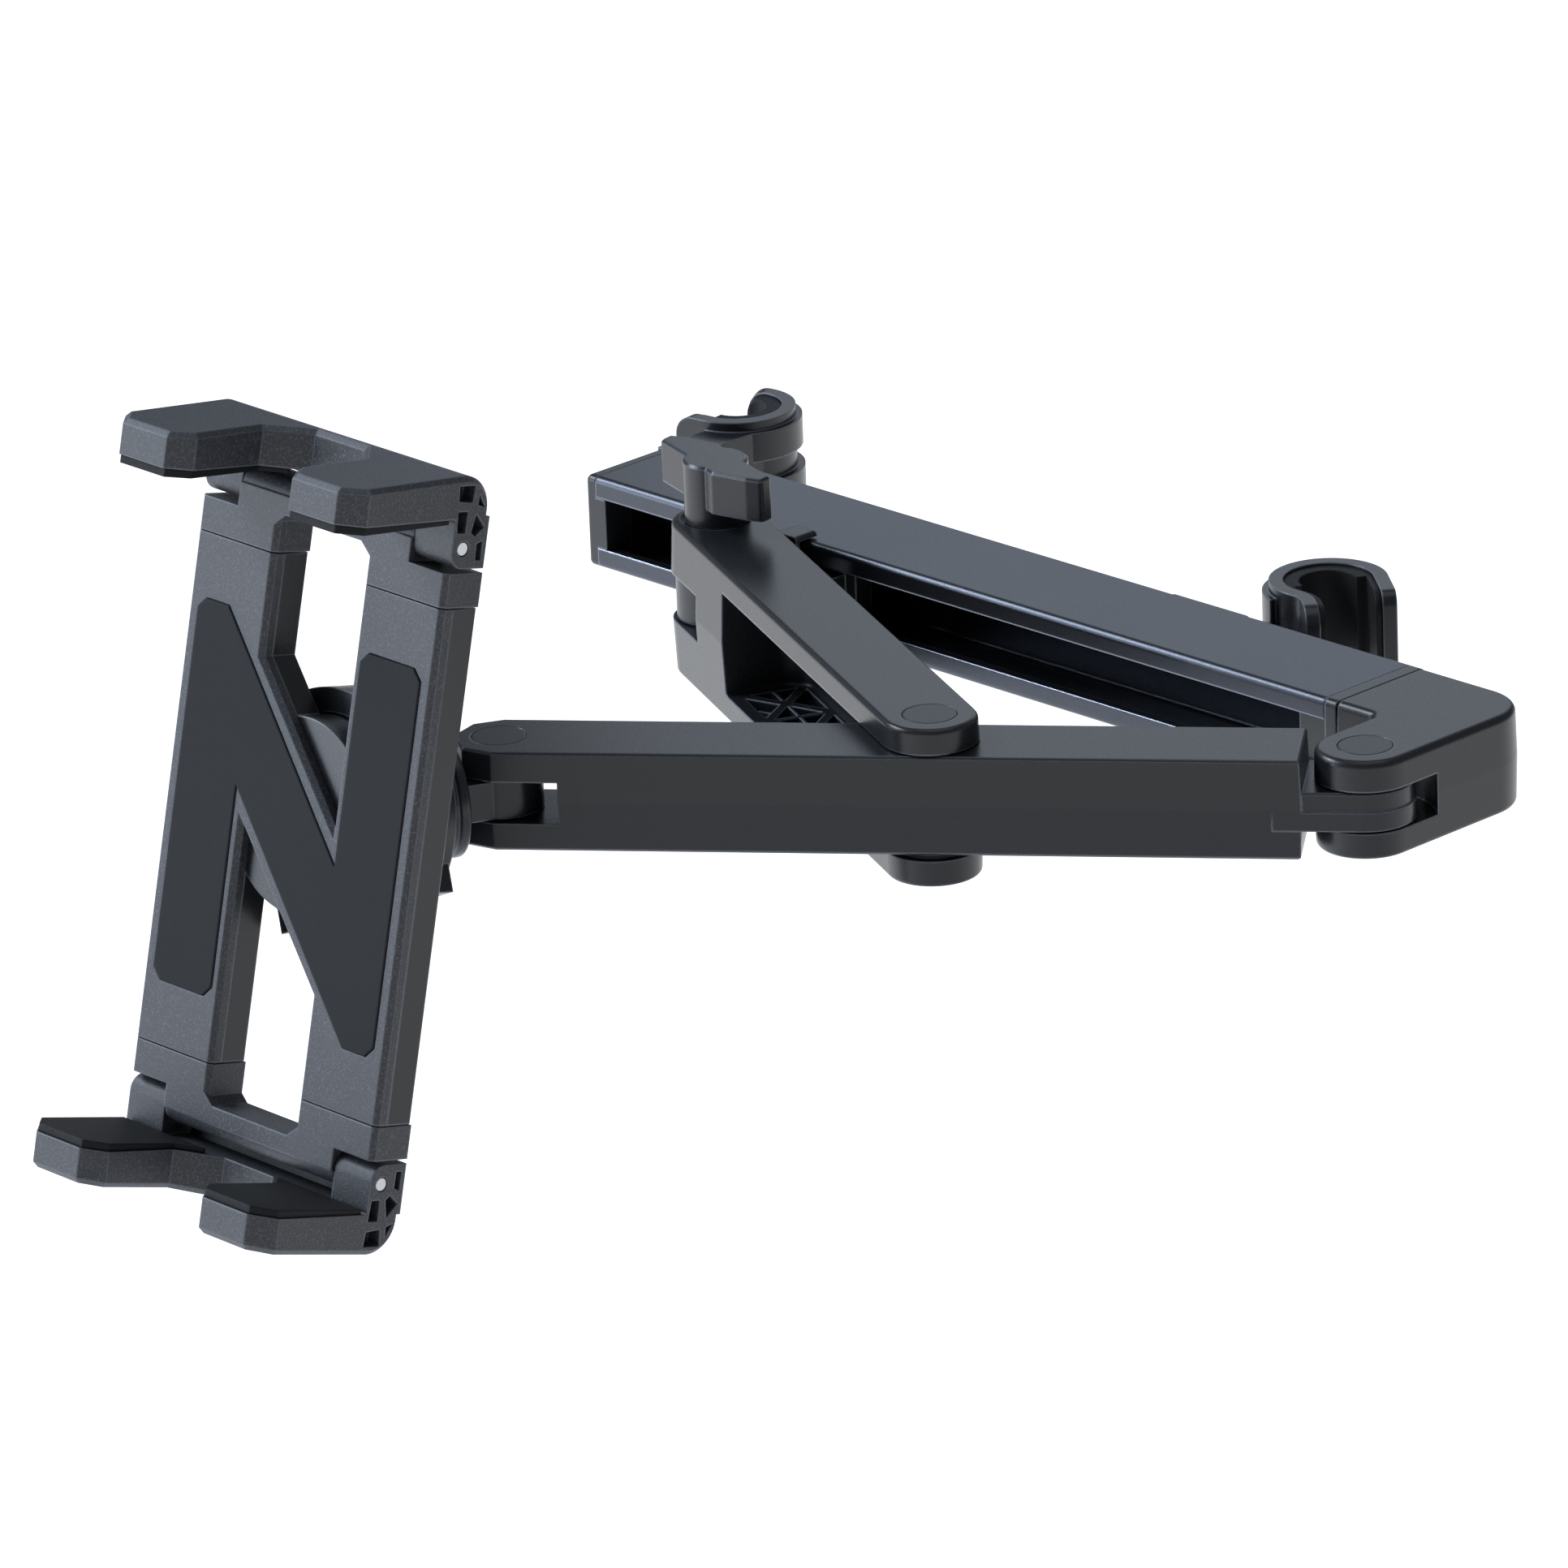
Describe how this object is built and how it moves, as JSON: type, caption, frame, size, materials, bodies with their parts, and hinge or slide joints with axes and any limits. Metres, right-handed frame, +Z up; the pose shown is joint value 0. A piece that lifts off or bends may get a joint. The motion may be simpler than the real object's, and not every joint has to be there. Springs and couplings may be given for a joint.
{
  "type": "tablet holder",
  "caption": "Headrest tablet holder: rail with two post hooks, folding arm and brace, ball joint, and a spring clamp with two fold-out claws.",
  "frame": {"origin": "axis of the right hook's post seat, at the middle of the rail's height", "axes": "+Z up along the headrest posts, +X along the rail to the right, +Y from the viewer to the headrest"},
  "size_m": [0.2639, 0.28, 0.1588],
  "materials": {
    "anodised": "black anodised, satin",
    "moulded": "satin moulded plastic, fine grain",
    "front_moulded": "fine sand texture",
    "caps": "smooth",
    "soft": "matt soft rubber",
    "steel": "bright",
    "bearing": "low friction plastic"
  },
  "bodies": {
    "rail": {"rail": "anodised", "rail_end_cap": "moulded", "rail_collar": "moulded", "elbow": "moulded", "elbow_pin": "caps", "right_hook": "moulded", "right_hook_liner": "soft", "right_hook_screws": "steel"},
    "left_hook": {"left_hook": "moulded", "left_hook_liner": "soft", "left_hook_foot": "moulded", "left_hook_screws": "steel"},
    "arm": {"arm": "moulded", "stub_pin": "caps"},
    "link": {"link": "moulded", "link_pin": "caps"},
    "carriage": {"carriage": "moulded"},
    "knob": {"knob": "moulded", "knob_screw": "steel"},
    "stub": {"stub": "moulded"},
    "cup": {"socket_cup": "bearing"},
    "lock_ring": {"lock_ring": "moulded"},
    "clamp": {"clamp_back": "moulded", "clamp_front": "front_moulded", "front_pad": "soft", "shell_screws": "steel"},
    "upper_end": {"upper_slide": "moulded", "upper_claw_pin": "steel"},
    "lower_end": {"lower_slide": "moulded", "lower_claw_pin": "steel"},
    "upper_claw": {"upper_claw": "moulded", "upper_claw_pads": "soft"},
    "lower_claw": {"lower_claw": "moulded", "lower_claw_pads": "soft"}
  },
  "joints": [
    {"name": "left_hook_slide", "type": "slide", "parent": "rail", "child": "left_hook", "axis": [1, 0, 0], "range_m": [0, 0.045]},
    {"name": "arm_swing", "type": "hinge", "parent": "rail", "child": "arm", "pos_m": [0.0725, -0.0675, 0], "axis": [0, 0, 1], "range_deg": [-32, 11.85]},
    {"name": "link_fold", "type": "hinge", "parent": "arm", "child": "link", "pos_m": [0.00408, -0.12124, 0], "axis": [0, 0, 1], "range_deg": [-19.26, 52]},
    {"name": "carriage_turn", "type": "hinge", "parent": "link", "child": "carriage", "pos_m": [-0.11315, -0.06575, 0], "axis": [0, 0, 1], "range_deg": [-20, 7.41]},
    {"name": "knob_turn", "type": "hinge", "parent": "carriage", "child": "knob", "pos_m": [-0.11315, -0.06575, 0], "axis": [0, 0, 1], "continuous": true},
    {"name": "stub_swivel", "type": "hinge", "parent": "arm", "child": "stub", "pos_m": [-0.06449, -0.17511, 0], "axis": [0, 0, -1], "range_deg": [-50, 90]},
    {"name": "ball_pan", "type": "hinge", "parent": "stub", "child": "cup", "pos_m": [-0.07759, -0.20583, -0.0005], "axis": [0, 0, 1], "range_deg": [-12, 12]},
    {"name": "ball_tilt", "type": "hinge", "parent": "cup", "child": "lock_ring", "pos_m": [-0.07759, -0.20583, -0.0005], "axis": [0.9998, -0.0216, 0], "range_deg": [-12, 12]},
    {"name": "clamp_spin", "type": "hinge", "parent": "lock_ring", "child": "clamp", "pos_m": [-0.07759, -0.20583, -0.0005], "axis": [-0.0211, -0.9736, 0.2272], "continuous": true},
    {"name": "upper_slide_out", "type": "slide", "parent": "clamp", "child": "upper_end", "axis": [0.0049, 0.2271, 0.9739], "range_m": [0, 0.038]},
    {"name": "lower_slide_out", "type": "slide", "parent": "clamp", "child": "lower_end", "axis": [-0.0049, -0.2271, -0.9739], "range_m": [0, 0.038]},
    {"name": "upper_claw_fold", "type": "hinge", "parent": "upper_end", "child": "upper_claw", "pos_m": [-0.07754, -0.20314, 0.0632], "axis": [0.9998, -0.0216, 0], "range_deg": [0, 80]},
    {"name": "lower_claw_fold", "type": "hinge", "parent": "lower_end", "child": "lower_claw", "pos_m": [-0.07817, -0.23248, -0.06262], "axis": [-0.9998, 0.0216, 0], "range_deg": [0, 80]}
  ],
  "couplings": [
    {"joint": "link_fold", "follows": "arm_swing", "ratio": -1.625},
    {"joint": "carriage_turn", "follows": "arm_swing", "ratio": 0.625}
  ]
}
